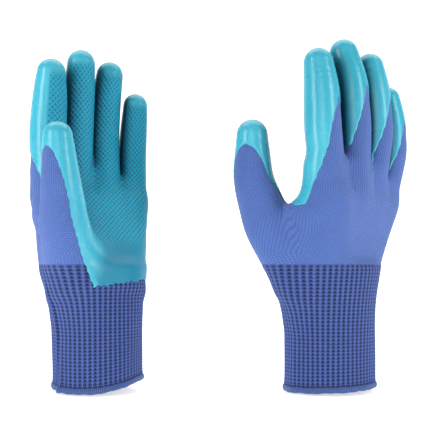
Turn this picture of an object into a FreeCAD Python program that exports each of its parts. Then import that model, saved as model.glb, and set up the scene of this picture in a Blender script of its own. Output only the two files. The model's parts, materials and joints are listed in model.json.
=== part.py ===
import FreeCAD, Part
import math
import os

# A pair of knit gardening gloves with a dipped rubber coat.
# +Z is up, the fingers point up, and the origin is the centre of the left cuff's opening.
# Every glove is a chain of bodies: cuff, palm, four three-part fingers and a two-part thumb.

V = FreeCAD.Vector

# ---------------------------------------------------------------- driving sizes, mm and degrees
SIZES = {
    "glove_spacing": 160.0,
    "left_turn": 30.0,
    "right_turn": 50.0,
    "liner": 1.2,
    "coat": 0.8,
    "joint_gap": 0.25,
    "overrun": 4.0,
    "finger_cutter": 70.0,
    "palm_cutter": 150.0,
    # cuff and hem
    "cuff_radius": 32.0,
    "cuff_top_radius": 35.0,
    "cuff_straight": 60.0,
    "cuff_flare": 27.0,
    "hem_height": 4.0,
    "hem_radius": 33.4,
    "hem_inner_radius": 30.4,
    # palm
    "wrist_height": 84.0,
    "wrist_back": 6.0,
    "palm_lean": 17.0,
    "palm_side_lean": 3.5,
    "palm_length": 54.0,
    "palm_under": 16.0,
    "palm_low_flat": 4.0,
    "palm_low_radius": 32.0,
    "palm_top_flat": 31.0,
    "palm_top_radius": 13.0,
    "coat_edge_set_back": 3.0,
    # heel of the thumb, part of the palm
    "heel_low_radius": 21.0,
    "thumb_knuckle_radius": 15.6,
    "heel_length": 37.0,
    "heel_under": 14.0,
    # thumb
    "thumb_first": 31.0,
    "thumb_last": 29.0,
    "thumb_middle_radius": 13.2,
    "thumb_tip_radius": 10.4,
}

# across: knuckle position along the palm; splay: outward lean; bends: rest bend at each joint
FINGERS = {
    "index": {"across": 34.0, "splay": 4.0, "bends": (28.0, 0.0, 0.0),
              "lengths": (41.0, 26.0, 18.0), "radii": (11.0, 11.3, 10.5, 9.0)},
    "middle": {"across": 11.0, "splay": 2.5, "bends": (19.0, 5.0, 3.0),
               "lengths": (46.0, 29.0, 19.0), "radii": (11.0, 11.3, 10.5, 9.0)},
    "ring": {"across": -12.0, "splay": 1.5, "bends": (9.0, 14.0, 8.0),
             "lengths": (43.0, 28.0, 18.0), "radii": (10.9, 11.0, 10.2, 8.8)},
    "little": {"across": -33.0, "splay": 0.8, "bends": (8.0, 14.0, 8.0),
               "lengths": (33.0, 21.0, 16.0), "radii": (9.6, 9.8, 9.2, 8.0)},
}
SEGMENTS = ("first", "middle", "tip")
STATIONS = ("knuckle", "second", "third", "end")

# how far each joint closes toward the palm and opens toward the back, in degrees from rest
WRIST_RANGE = (25.0, 30.0)
KNUCKLE_RANGE = (20.0, 45.0)
SECOND_RANGE = (8.0, 50.0)
THIRD_RANGE = (8.0, 35.0)
THUMB_KNUCKLE_RANGE = (25.0, 25.0)
THUMB_MIDDLE_RANGE = (8.0, 35.0)
RANGE_MARGIN = 1.5
KNUCKLE_TILT = 8.0

# thumb landmarks in the glove's frame: toward the thumb side, toward the palm, up
HEEL_LOW = (24.0, 7.0, 83.0)
THUMB_KNUCKLE = (37.0, 23.0, 114.0)
THUMB_MIDDLE = (44.0, 29.5, 143.5)
THUMB_END = (46.5, 31.0, 172.5)
THUMB_PAD = (-0.87, 0.5, 0.0)

doc = FreeCAD.newDocument("gloves")
sheet = doc.addObject("Spreadsheet::Sheet", "sizes")
for name, finger in FINGERS.items():
    for segment, length in zip(SEGMENTS, finger["lengths"]):
        SIZES[name + "_" + segment + "_length"] = length
    for station, radius in zip(STATIONS, finger["radii"]):
        SIZES[name + "_" + station + "_radius"] = radius
for row, (alias, value) in enumerate(SIZES.items(), start=1):
    sheet.set("A%d" % row, alias)
    sheet.set("B%d" % row, str(value))
    sheet.setAlias("B%d" % row, alias)
doc.recompute()


def turned(vector, axis, degrees):
    return FreeCAD.Rotation(axis, degrees).multVec(vector)


def frame_at(origin, across, toward_palm, along):
    """Placement with local x across the hand, y toward the palm side and z along the part."""
    return FreeCAD.Placement(origin, FreeCAD.Rotation(across, toward_palm, along, "ZXY"))


# ---------------------------------------------------------------- shape helpers
def bind(part, **formulas):
    for prop, formula in formulas.items():
        part.setExpression(prop, formula)
    return part


def cone(name, low, high, length, placement):
    part = doc.addObject("Part::Cone", name)
    bind(part, Radius1=low, Radius2=high, Height=length)
    part.Placement = placement
    return part


def ball(name, radius, centre):
    part = doc.addObject("Part::Sphere", name)
    bind(part, Radius=radius)
    part.Placement = FreeCAD.Placement(centre, FreeCAD.Rotation())
    return part


def half_space(name, size, point, normal):
    """A block whose one face lies on the plane through point and which fills the normal's side."""
    part = doc.addObject("Part::Box", name)
    bind(part, Length="sizes." + size, Width="sizes." + size, Height="sizes." + size)
    turn = FreeCAD.Rotation(V(0, 0, 1), normal)
    half = SIZES[size] / 2.0
    part.Placement = FreeCAD.Placement(point - turn.multVec(V(half, half, 0)), turn)
    return part


def cut(name, base, tool):
    part = doc.addObject("Part::Cut", name)
    part.Base = base
    part.Tool = tool
    return part


def fuse(name, first, second):
    part = doc.addObject("Part::Fuse", name)
    part.Base = first
    part.Tool = second
    return part


def cut_all(name, base, tools):
    for number, tool in enumerate(tools, start=1):
        base = cut("%s_cut_%d" % (name, number), base, tool)
    return base


def keep(part, label, placement):
    part.Label = label
    part.Placement = placement
    kept.append(part)


def notch(name, size, point, along, axis, ranges, side):
    """Two blocks that trim one end of a part so that it clears its neighbour over the joint's range.

    side is +1 for the end below the joint and -1 for the end above it.
    """
    opening, closing = ranges
    blocks = []
    for word, degrees in (("palm", (closing + RANGE_MARGIN) / 2.0), ("back", -(opening + RANGE_MARGIN) / 2.0)):
        normal = turned(along * side, axis, degrees * side)
        start = point - along * (SIZES["joint_gap"] * side)
        blocks.append(half_space(name + "_" + word, size, start, normal))
    return blocks


def segment_axis(splay, mirror):
    angle = math.radians(splay)
    return V(mirror * math.sin(angle), 0, math.cos(angle))


# ---------------------------------------------------------------- cuff and hem
def build_cuff(side, frame, wrist, wrist_level, wrist_axis):
    sketch_body = doc.addObject("PartDesign::Body", side + "_hem_body")
    sketch = sketch_body.newObject("Sketcher::SketchObject", side + "_hem_profile")
    plane = [f for f in sketch_body.Origin.OriginFeatures if f.Role == "XZ_Plane"][0]
    sketch.AttachmentSupport = [(plane, "")]
    sketch.MapMode = "FlatFace"
    inner, outer, top = SIZES["hem_inner_radius"], SIZES["hem_radius"], SIZES["hem_height"]
    corners = [V(inner, 0, 0), V(outer, 0, 0), V(outer, top, 0), V(inner, top, 0)]
    for start, end in zip(corners, corners[1:] + corners[:1]):
        sketch.addGeometry(Part.LineSegment(start, end), False)
    hem = sketch_body.newObject("PartDesign::Revolution", side + "_hem_ring")
    hem.Profile = sketch
    hem.ReferenceAxis = (sketch, ["V_Axis"])
    hem.Angle = 360.0
    keep(sketch_body, side + "_hem", frame)

    def tube(word, inset):
        low = cone(side + "_cuff_low_" + word, "sizes.cuff_radius" + inset, "sizes.cuff_radius" + inset + " + 0.01",
                   "sizes.cuff_straight", FreeCAD.Placement(V(0, 0, SIZES["hem_height"]), FreeCAD.Rotation()))
        flare_base = V(0, 0, SIZES["hem_height"] + SIZES["cuff_straight"])
        high = cone(side + "_cuff_flare_" + word, "sizes.cuff_radius" + inset + " + 0.01",
                    "sizes.cuff_top_radius" + inset, "sizes.cuff_flare",
                    FreeCAD.Placement(flare_base, FreeCAD.Rotation()))
        return fuse(side + "_cuff_" + word, low, high)

    wall = cut(side + "_cuff_wall", tube("outer", ""), tube("inner", " - sizes.liner"))
    blocks = notch(side + "_cuff_wrist", "palm_cutter", wrist, wrist_level, wrist_axis, WRIST_RANGE, 1)
    keep(cut_all(side + "_cuff", wall, blocks), side + "_cuff", frame)


# ---------------------------------------------------------------- palm
def palm_loft(side, word, grow):
    """Rounded slab from the round wrist to the wide, flat knuckle line."""
    body = doc.addObject("PartDesign::Body", side + "_palm_" + word)
    sketches = []
    plane = [f for f in body.Origin.OriginFeatures if f.Role == "XY_Plane"][0]
    levels = (("low", -SIZES["palm_under"], SIZES["palm_low_flat"], SIZES["palm_low_radius"]),
              ("top", SIZES["palm_length"] + 12.0, SIZES["palm_top_flat"], SIZES["palm_top_radius"]))
    for level, height, flat, radius in levels:
        sketch = body.newObject("Sketcher::SketchObject", side + "_palm_" + word + "_" + level)
        sketch.AttachmentSupport = [(plane, "")]
        sketch.MapMode = "FlatFace"
        sketch.AttachmentOffset = FreeCAD.Placement(V(0, 0, height), FreeCAD.Rotation())
        size = radius + grow
        sketch.addGeometry(Part.LineSegment(V(-flat, -size, 0), V(flat, -size, 0)), False)
        right = Part.Circle(V(flat, 0, 0), V(0, 0, 1), size)
        sketch.addGeometry(Part.ArcOfCircle(right, -math.pi / 2, math.pi / 2), False)
        sketch.addGeometry(Part.LineSegment(V(flat, size, 0), V(-flat, size, 0)), False)
        left = Part.Circle(V(-flat, 0, 0), V(0, 0, 1), size)
        sketch.addGeometry(Part.ArcOfCircle(left, math.pi / 2, 3 * math.pi / 2), False)
        sketches.append(sketch)
    loft = body.newObject("PartDesign::AdditiveLoft", side + "_palm_" + word + "_loft")
    loft.Profile = sketches[0]
    loft.Sections = [sketches[1]]
    loft.Ruled = True
    return body


def build_palm(side, frame, to_local, wrist_level, thumb_axis):
    low = to_local(HEEL_LOW)
    knuckle = to_local(THUMB_KNUCKLE)
    heel_along = (knuckle - low).normalize()
    start = knuckle - heel_along * (SIZES["heel_length"] + SIZES["heel_under"])
    turn = FreeCAD.Rotation(V(0, 0, 1), heel_along)

    thumb_along = (to_local(THUMB_MIDDLE) - knuckle).normalize()
    thumb_level = (thumb_along + heel_along).normalize()
    thumb_blocks = notch(side + "_palm_thumb", "finger_cutter", knuckle, thumb_level, thumb_axis,
                         THUMB_KNUCKLE_RANGE, 1)

    def skin(word, grow, formula):
        heel = cone(side + "_heel_" + word, "sizes.heel_low_radius" + formula,
                    "sizes.thumb_knuckle_radius" + formula,
                    "sizes.heel_length + sizes.heel_under + sizes.overrun", FreeCAD.Placement(start, turn))
        trimmed = cut_all(side + "_heel_" + word, heel, thumb_blocks)
        return fuse(side + "_palm_skin_" + word, palm_loft(side, word, grow), trimmed)

    inner = skin("inside", -SIZES["liner"] - SIZES["coat"], " - sizes.liner - sizes.coat")
    middle = skin("knit", -SIZES["coat"], " - sizes.coat")
    outer = skin("rubber", 0.0, "")

    bend_axis = V(-1, 0, 0)
    blocks = notch(side + "_palm_wrist", "palm_cutter", V(0, 0, 0), wrist_level, bend_axis, WRIST_RANGE, -1)
    tilt = turned(V(0, 0, 1), bend_axis, KNUCKLE_TILT)
    blocks += notch(side + "_palm_knuckles", "palm_cutter", V(0, 0, SIZES["palm_length"]), tilt, bend_axis,
                    KNUCKLE_RANGE, 1)
    liner = cut_all(side + "_palm_liner", cut(side + "_palm_liner_wall", middle, inner), blocks)
    keep(liner, side + "_palm_liner", frame)
    back = half_space(side + "_palm_back", "palm_cutter", V(0, SIZES["coat_edge_set_back"], 20.0),
                      V(0, -1, 0))
    coat = cut_all(side + "_palm_coat", cut(side + "_palm_coat_wall", outer, middle), blocks + [back])
    keep(coat, side + "_palm_coat", frame)


# ---------------------------------------------------------------- fingers
def build_segment(node, frame, along, length_name, length, radii, lower, upper, back_edge, size):
    """A hollow tapered length of knit with the rubber coat over its palm side."""
    begin = along * -SIZES["overrun"]
    placement = FreeCAD.Placement(begin, FreeCAD.Rotation(V(0, 0, 1), along))
    height = "sizes.%s + 2 * sizes.overrun" % length_name

    def layer(word, less):
        return cone(node + "_" + word, "sizes." + radii[0] + less, "sizes." + radii[1] + less, height, placement)

    inside = layer("inside", " - sizes.coat - sizes.liner")
    knit = layer("knit", " - sizes.coat")
    rubber = layer("rubber", "")
    blocks = lower + upper
    keep(cut_all(node + "_liner", cut(node + "_liner_wall", knit, inside), blocks), node + "_liner", frame)
    low_edge, high_edge = back_edge
    slope = math.degrees(math.atan2(low_edge - high_edge, length))
    normal = turned(V(0, -1, 0), V(1, 0, 0), -slope)
    back = half_space(node + "_back", size, V(0, low_edge, 0), normal)
    coat = cut_all(node + "_coat", cut(node + "_coat_wall", rubber, knit), blocks + [back])
    keep(coat, node + "_coat", frame)


def build_tip(node, frame, along, length_name, length, radii, lower):
    """The closed, fully coated end of a finger or thumb."""
    placement = FreeCAD.Placement(along * -SIZES["overrun"], FreeCAD.Rotation(V(0, 0, 1), along))
    height = "sizes.%s + sizes.overrun" % length_name
    layers = []
    for word, less in (("outside", ""), ("inside", " - sizes.coat - sizes.liner")):
        sleeve = cone(node + "_sleeve_" + word, "sizes." + radii[0] + less, "sizes." + radii[1] + less,
                      height, placement)
        cap = ball(node + "_cap_" + word, "sizes." + radii[1] + less, along * length)
        layers.append(fuse(node + "_" + word, sleeve, cap))
    wall = cut(node + "_wall", layers[0], layers[1])
    keep(cut_all(node + "_coat", wall, lower), node + "_coat", frame)


def build_finger(side, name, finger, palm_axes, knuckle, mirror):
    across, toward_palm, along = palm_axes
    bend_axis = V(-1, 0, 0)
    joint = knuckle
    direction = segment_axis(finger["splay"], mirror)
    total = 0.0
    curl_axis = along.cross(toward_palm)
    edges = ((2.0, -4.0), (-4.0, -9.0))
    ranges = (KNUCKLE_RANGE, SECOND_RANGE, THIRD_RANGE)
    for number, segment in enumerate(SEGMENTS):
        bend = finger["bends"][number]
        total += bend
        here_along = turned(along, curl_axis, total)
        here_palm = turned(toward_palm, curl_axis, total)
        frame = frame_at(joint, across, here_palm, here_along)
        node = "%s_%s_%s" % (side, name, segment)
        if number == 0:
            level = turned(V(0, 0, 1), bend_axis, KNUCKLE_TILT - bend)
        else:
            level = turned(V(0, 0, 1), bend_axis, -bend / 2.0)
        lower = notch(node + "_lower", "finger_cutter", V(0, 0, 0), level, bend_axis, ranges[number], -1)
        length = finger["lengths"][number]
        length_name = "%s_%s_length" % (name, segment)
        radii = ["%s_%s_radius" % (name, station) for station in STATIONS[number:number + 2]]
        if segment == "tip":
            build_tip(node, frame, direction, length_name, length, radii, lower)
        else:
            next_bend = finger["bends"][number + 1]
            top_level = turned(V(0, 0, 1), bend_axis, next_bend / 2.0)
            upper = notch(node + "_upper", "finger_cutter", direction * length, top_level, bend_axis,
                          ranges[number + 1], 1)
            build_segment(node, frame, direction, length_name, length, radii, lower, upper, edges[number],
                          "finger_cutter")
        joint = joint + frame.Rotation.multVec(direction * length)


# ---------------------------------------------------------------- thumb
def build_thumb(side, points, pad, heel_along):
    knuckle, middle, end = points
    first = (middle - knuckle).normalize()
    last = (end - middle).normalize()
    axis = first.cross(pad).normalize()

    def thumb_frame(origin, along):
        facing = axis.cross(along).normalize()
        return frame_at(origin, facing.cross(along), facing, along)

    frame = thumb_frame(knuckle, first)
    inward = frame.Rotation.inverted()
    local_axis = inward.multVec(axis)
    level = inward.multVec((first + heel_along).normalize())
    node = side + "_thumb_first"
    lower = notch(node + "_lower", "finger_cutter", V(0, 0, 0), level, local_axis, THUMB_KNUCKLE_RANGE, -1)
    bend = inward.multVec((first + last).normalize())
    upper = notch(node + "_upper", "finger_cutter", V(0, 0, SIZES["thumb_first"]), bend, local_axis,
                  THUMB_MIDDLE_RANGE, 1)
    build_segment(node, frame, V(0, 0, 1), "thumb_first", SIZES["thumb_first"],
                  ["thumb_knuckle_radius", "thumb_middle_radius"], lower, upper, (3.0, -3.0), "finger_cutter")
    frame = thumb_frame(middle, last)
    inward = frame.Rotation.inverted()
    level = inward.multVec((first + last).normalize())
    node = side + "_thumb_tip"
    lower = notch(node + "_lower", "finger_cutter", V(0, 0, 0), level, inward.multVec(axis),
                  THUMB_MIDDLE_RANGE, -1)
    build_tip(node, frame, V(0, 0, 1), "thumb_last", SIZES["thumb_last"],
              ["thumb_middle_radius", "thumb_tip_radius"], lower)


# ---------------------------------------------------------------- one whole glove
def build_glove(side, mirror, turn, offset):
    """Left has the palm toward -Y and right is its mirror image, each then turned about Z."""
    up = V(0, 0, 1)
    thumb_side = turned(V(-1, 0, 0), up, turn)
    palm_side = turned(V(0, -mirror, 0), up, turn)
    base = V(offset, 0, 0)

    def place(point):
        return base + thumb_side * point[0] + palm_side * point[1] + up * point[2]

    def direct(point):
        return thumb_side * point[0] + palm_side * point[1] + up * point[2]

    lean = math.radians(SIZES["palm_lean"])
    sideways = math.radians(SIZES["palm_side_lean"])
    along = direct((-math.sin(sideways), -math.sin(lean), math.cos(lean))).normalize()
    across = (thumb_side - along * thumb_side.dot(along)).normalize()
    toward_palm = (palm_side - along * palm_side.dot(along) - across * palm_side.dot(across)).normalize()
    wrist = place((0, -SIZES["wrist_back"], SIZES["wrist_height"]))
    local_x = across * mirror
    palm_frame = frame_at(wrist, local_x, toward_palm, along)
    cuff_frame = frame_at(base, thumb_side * mirror, palm_side, up)

    def to_palm(point):
        return palm_frame.inverse().multVec(place(point))

    level = turned(V(0, 0, 1), V(-1, 0, 0), SIZES["palm_lean"])
    to_cuff = cuff_frame.Rotation.inverted()
    build_cuff(side, cuff_frame, cuff_frame.inverse().multVec(wrist),
               to_cuff.multVec(palm_frame.Rotation.multVec(level)), to_cuff.multVec(across * -mirror))
    points = [place(p) for p in (THUMB_KNUCKLE, THUMB_MIDDLE, THUMB_END)]
    pad = direct(THUMB_PAD)
    first = (points[1] - points[0]).normalize()
    thumb_axis = first.cross(pad).normalize()
    heel_along = direct(tuple(a - b for a, b in zip(THUMB_KNUCKLE, HEEL_LOW))).normalize()
    build_palm(side, palm_frame, to_palm, level, palm_frame.Rotation.inverted().multVec(thumb_axis))
    for name, finger in FINGERS.items():
        knuckle = palm_frame.multVec(V(mirror * finger["across"], 0, SIZES["palm_length"]))
        build_finger(side, name, finger, (local_x, toward_palm, along), knuckle, mirror)
    build_thumb(side, points, pad, heel_along)


kept = []
build_glove("left", 1, SIZES["left_turn"], 0.0)
build_glove("right", -1, SIZES["right_turn"], SIZES["glove_spacing"])
doc.recompute()

for part in doc.Objects:
    for word in ("Invalid", "Error"):
        if word in part.State:
            raise RuntimeError("%s is %s" % (part.Label, word))
os.makedirs("parts", exist_ok=True)
for part in kept:
    shape = part.Shape
    if shape.isNull() or not shape.isValid() or len(shape.Solids) != 1:
        raise RuntimeError("%s has a bad shape: %d solids" % (part.Label, len(shape.Solids)))
    shape.exportStep("parts/%s.step" % part.Label)
    print(part.Label, round(shape.Volume, 1), shape.BoundBox)
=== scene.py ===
"""A pair of knit gardening gloves with a dipped rubber coat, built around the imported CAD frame."""

import json
import math

import bpy
import numpy as np
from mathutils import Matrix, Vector


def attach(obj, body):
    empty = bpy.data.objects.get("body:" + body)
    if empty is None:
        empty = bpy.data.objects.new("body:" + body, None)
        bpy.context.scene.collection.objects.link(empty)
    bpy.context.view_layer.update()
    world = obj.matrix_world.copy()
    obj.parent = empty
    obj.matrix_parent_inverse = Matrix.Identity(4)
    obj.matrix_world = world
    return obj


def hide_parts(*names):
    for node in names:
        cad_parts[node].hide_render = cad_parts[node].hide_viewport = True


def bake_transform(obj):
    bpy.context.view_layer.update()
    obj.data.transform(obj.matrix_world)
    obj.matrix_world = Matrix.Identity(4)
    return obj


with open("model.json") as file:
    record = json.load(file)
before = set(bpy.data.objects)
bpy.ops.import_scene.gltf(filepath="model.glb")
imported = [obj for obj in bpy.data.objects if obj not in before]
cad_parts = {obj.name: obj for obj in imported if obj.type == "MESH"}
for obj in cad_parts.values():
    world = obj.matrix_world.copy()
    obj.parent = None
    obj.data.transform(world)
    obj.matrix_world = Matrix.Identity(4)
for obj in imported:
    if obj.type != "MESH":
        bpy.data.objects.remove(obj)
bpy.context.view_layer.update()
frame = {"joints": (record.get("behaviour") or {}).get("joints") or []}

MM = 0.001
# size of the net's cells, and how far from a line its distance is worked out exactly, in mm
GRID = 0.8
FAR = 16.0
FINGERS = ("index", "middle", "ring", "little")
# which hand, how far each glove is turned, and how far along the row it stands, in mm
SIDES = {
    "left": {"mirror": 1.0, "turn": 30.0, "offset": 0.0},
    "right": {"mirror": -1.0, "turn": 50.0, "offset": 160.0},
}
# radius of each finger at its start, knuckle, second joint, third joint and end
RADII = {
    "index": (10.5, 11.6, 12.2, 11.3, 9.3),
    "middle": (11.0, 11.4, 11.3, 10.5, 9.1),
    "ring": (10.8, 11.0, 10.8, 10.1, 8.9),
    "little": (9.2, 9.9, 9.8, 9.1, 8.1),
}
# from the third joint to the end of the bone line, and how far the tips lean to the palm, in degrees
TIP_LENGTH = {"index": 18.0, "middle": 19.0, "ring": 18.0, "little": 16.0}
TIP_LEAN = {"index": 0.0, "middle": 3.0, "ring": 8.0, "little": 8.0}
THUMB_RADII = {"left": (18.0, 19.3, 16.2, 12.6, 9.1), "right": (18.0, 19.3, 16.6, 13.4, 10.0)}
# the line each thumb's cloth follows, from the heel to the end: toward the thumb side, the palm and up
THUMB_LINE = {
    "left": ((10.0, 4.0, 62.0), (20.5, 10.0, 82.0), (34.0, 24.0, 113.0),
             (39.5, 32.0, 141.0), (42.0, 34.0, 169.5)),
    "right": ((13.0, 4.0, 62.0), (24.0, 9.0, 82.0), (38.2, 24.0, 114.0),
              (45.6, 31.0, 143.5), (46.5, 31.0, 174.5)),
}
# how far the cloth of each finger strays from its joints, toward the thumb and toward the palm,
# at its start, knuckle, second joint, third joint and end
FINGER_STRAY = {
    "index": ((-6.5, 3.0), (-3.0, 4.0), (-1.2, -0.8), (-2.5, -4.0), (-2.8, -4.8)),
    "middle": ((0.0, 0.0), (-1.2, -1.8), (-1.7, -3.6), (-2.1, -4.2), (-1.1, -1.9)),
    "ring": ((0.0, 0.0), (-0.2, -0.6), (-0.3, -1.0), (-0.4, -1.2), (-0.7, -1.0)),
    "little": ((4.0, 0.0), (0.0, 0.0), (-1.6, -1.3), (-1.6, -1.6), (-0.6, -2.0)),
}
# how much longer the cloth's fingertips are than the joints' line, in mm
TIP_LONGER = {
    "left": {"index": -2.6, "middle": -2.0, "ring": 0.0, "little": 0.0},
    "right": {"index": -0.4, "middle": 0.0, "ring": 0.6, "little": 0.6},
}
# the cloth between the thumb, the palm and the fingers: stout lines, with their radii
WEBS = (
    (((26.0, -2.0, 86.0), (31.0, 0.0, 104.0), (31.3, -4.5, 120.0)), (13.0, 12.0, 11.0)),
    (((18.5, -20.0, 128.0), (18.0, -21.5, 151.0)), (8.0, 7.0)),
    (((-4.0, -22.0, 128.0), (-5.3, -25.0, 149.0)), (8.0, 7.0)),
    (((-26.0, -21.0, 126.0), (-27.0, -24.0, 142.0)), (8.0, 6.5)),
    (((36.0, 24.0, 112.0), (31.0, -8.0, 122.0)), (9.5, 9.5)),
    (((30.0, -8.0, 121.0), (30.2, -13.5, 150.0)), (9.5, 10.5)),
)
# level above the wrist along the palm: half flat width, half thickness, and shift toward the palm
PALM_LEVELS = (-24.0, -10.0, 0.0, 15.0, 30.0, 45.0, 54.0, 66.0)
PALM_FLAT = (3.0, 5.5, 9.5, 16.3, 22.3, 27.0, 29.5, 31.0)
PALM_THICK = (28.5, 27.0, 25.2, 21.5, 17.5, 14.8, 13.4, 12.4)
PALM_FORWARD = (4.0, 3.6, 3.2, 2.0, 0.8, 0.0, 0.0, 0.0)
PALM_TOP = 59.0
PALM_FOOT = -22.0
CUFF_TOP = 90.0
# how softly the parts of the hand run into each other, in mm
FINGER_BLEND = 7.0
THUMB_BLEND = 14.0
# from the first knuckle to the middle of the hand
INDEX_FROM_MIDDLE = 34.0
# height above the hem: cuff radius and how far its centre is toward the back
CUFF_HEIGHTS = (0.0, 10.0, 45.0, 58.0, 68.0, 78.0, 90.0)
CUFF_RADII = (30.6, 30.5, 30.6, 30.9, 31.4, 32.2, 33.0)
CUFF_BACK = (0.0, 0.0, 0.2, 0.6, 1.1, 1.8, 2.6)


# ================================================================ the hand's shape as distance fields
def rotated(vector, axis, degrees):
    """The vector turned round an axis."""
    angle = math.radians(degrees)
    axis = np.asarray(axis, float) / np.linalg.norm(axis)
    vector = np.asarray(vector, float)
    return (vector * math.cos(angle) + np.cross(axis, vector) * math.sin(angle)
            + axis * np.dot(axis, vector) * (1 - math.cos(angle)))


def unit(vector):
    return vector / np.linalg.norm(vector)


def soft_min(a, b, blend):
    """The smaller of two distances, with a fillet where they cross."""
    h = np.maximum(blend - np.abs(a - b), 0.0) / blend
    return np.minimum(a, b) - h * h * blend * 0.25


def soft_max(a, b, blend):
    return -soft_min(-a, -b, blend)


def smooth_step(low, high, x):
    t = np.clip((x - low) / (high - low), 0.0, 1.0)
    return t * t * (3 - 2 * t)


def smooth_curve(xs, ys, width):
    """Table of a gently rounded curve through the given levels."""
    fine = np.linspace(xs[0] - 4 * width, xs[-1] + 4 * width, 600)
    raw = np.interp(fine, xs, ys)
    reach = int(width / (fine[1] - fine[0]))
    kernel = np.hanning(2 * reach + 3)
    padded = np.pad(raw, reach + 1, mode="edge")
    return fine, np.convolve(padded, kernel / kernel.sum(), mode="valid")


class Glove:
    """One glove in its own frame, in mm: x toward the thumb side, y toward the palm side, z up."""

    def __init__(self, side):
        setup = SIDES[side]
        self.side = side
        self.mirror = setup["mirror"]
        turn = setup["turn"]
        self.offset = setup["offset"]
        thumb_side = rotated((-1, 0, 0), (0, 0, 1), turn)
        palm_side = rotated((0, -self.mirror, 0), (0, 0, 1), turn)
        self.to_row_matrix = np.stack([thumb_side, palm_side, (0, 0, 1)])
        joints = {j["name"]: j for j in frame["joints"]}
        self.joints = joints
        self.wrist = self.joint("wrist")
        self.knuckles = {f: self.joint(f + "_knuckle") for f in FINGERS}
        self.across = unit(self.knuckles["index"] - self.knuckles["little"])
        centre = self.knuckles["index"] - self.across * INDEX_FROM_MIDDLE
        self.along = unit(centre - self.wrist)
        self.toward_palm = unit(np.cross(self.along, self.across))
        self.make_lines()

    def joint(self, name):
        position = np.array(self.joints[self.side + "_" + name]["pos_m"]) / MM
        position = position - np.array([self.offset, 0, 0])
        return self.to_row_matrix @ position

    def to_row(self, points):
        """Points of this glove, in mm, as row-frame points in metres."""
        out = points @ self.to_row_matrix
        out[:, 0] += self.offset
        return out * MM

    def turn_to_row(self, vectors):
        return vectors @ self.to_row_matrix

    def local(self, points):
        """Across, toward the palm and along the hand, from the wrist."""
        rel = points - self.wrist
        return rel @ self.across, rel @ self.toward_palm, rel @ self.along

    def make_lines(self):
        """The bone lines: as the joints give them (segments) and as the cloth follows them (lines)."""
        self.lines = {}
        self.segments = {}
        for finger in FINGERS:
            knuckle = self.knuckles[finger]
            second = self.joint(finger + "_second")
            third = self.joint(finger + "_third")
            end = third + unit(third - second) * TIP_LENGTH[finger]
            end += self.bend_forward(finger, third, second)
            start = knuckle - self.along * 18.0
            points = [start, knuckle, second, third, end]
            self.segments[finger] = points
            line = [point + (aside, forward, 0.0)
                    for point, (aside, forward) in zip(points, FINGER_STRAY[finger])]
            line[-1] = line[-1] + unit(end - third) * TIP_LONGER[self.side][finger]
            self.lines[finger] = rounded_line(line, RADII[finger])
        first = self.joint("thumb_knuckle")
        middle = self.joint("thumb_middle")
        line = np.array(THUMB_LINE[self.side])
        self.segments["thumb"] = [line[1], first, middle, line[4]]
        self.lines["thumb"] = rounded_line(line, THUMB_RADII[self.side])
        self.webs = [rounded_line(points, radii) for points, radii in WEBS]

    def bend_forward(self, finger, third, second):
        """How far the finger's end moves when its tip leans to the palm."""
        direction = unit(third - second)
        turned = rotated(direction, np.cross(direction, self.toward_palm), TIP_LEAN[finger])
        return (turned - direction) * TIP_LENGTH[finger]

    def palm(self, points):
        across, thick, along = self.local(points)
        flat = np.interp(along, *PALM_FLAT_CURVE)
        half = np.interp(along, *PALM_THICK_CURVE)
        thick = thick - np.interp(along, *PALM_FORWARD_CURVE)
        side = (np.hypot(np.maximum(np.abs(across) - flat, 0.0), thick) - half) * 0.95
        shape = soft_max(side, along - PALM_TOP, 12.0)
        return soft_max(shape, PALM_FOOT - along, 6.0)

    def cuff(self, points):
        radius = np.interp(points[:, 2], *CUFF_RADIUS_CURVE)
        back = np.interp(points[:, 2], *CUFF_BACK_CURVE)
        side = np.hypot(points[:, 0], points[:, 1] + back) - radius
        return soft_max(side, points[:, 2] - CUFF_TOP, 8.0)

    def hand(self, points):
        """Everything but the thumb."""
        shape = soft_min(self.palm(points), self.cuff(points), 5.0)
        fingers = None
        for finger in FINGERS:
            one = line_distance(points, *self.lines[finger])[0]
            fingers = one if fingers is None else soft_min(fingers, one, 1.0)
        return soft_min(shape, fingers, FINGER_BLEND)

    def thumb(self, points):
        return line_distance(points, *self.lines["thumb"])[0]

    def whole(self, points):
        shape = soft_min(self.hand(points), self.thumb(points), THUMB_BLEND)
        for web in self.webs:
            shape = soft_min(shape, line_distance(points, *web)[0], FINGER_BLEND)
        return shape


def rounded_line(points, radii, step=3.5, reach=7.0):
    """The bone line with its corners rounded off, and its radius at each point."""
    points = np.array(points)
    lengths = np.concatenate([[0], np.cumsum(np.linalg.norm(np.diff(points, axis=0), axis=1))])
    count = int(lengths[-1] / step) + 1
    s = np.linspace(0, lengths[-1], count)
    offsets = np.linspace(-reach, reach, 9)
    window = np.minimum(np.minimum(s, lengths[-1] - s), reach) / reach
    line = np.zeros((count, 3))
    radius = np.zeros(count)
    for offset in offsets:
        at = s + offset * window
        line += np.stack([np.interp(at, lengths, points[:, i]) for i in range(3)], axis=1)
        radius += np.interp(at, lengths, radii)
    return line / len(offsets), radius / len(offsets)


def segment_distance(points, start, end, start_radius, end_radius):
    """Distance to one tapered rounded bar, and how far along it the nearest spot is, from 0 to 1."""
    step = end - start
    share = np.clip((points - start) @ step / step.dot(step), 0, 1)
    gap = points - start - share[:, None] * step
    distance = np.sqrt(np.einsum("ij,ij->i", gap, gap))
    return distance - (start_radius + (end_radius - start_radius) * share), share


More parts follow.
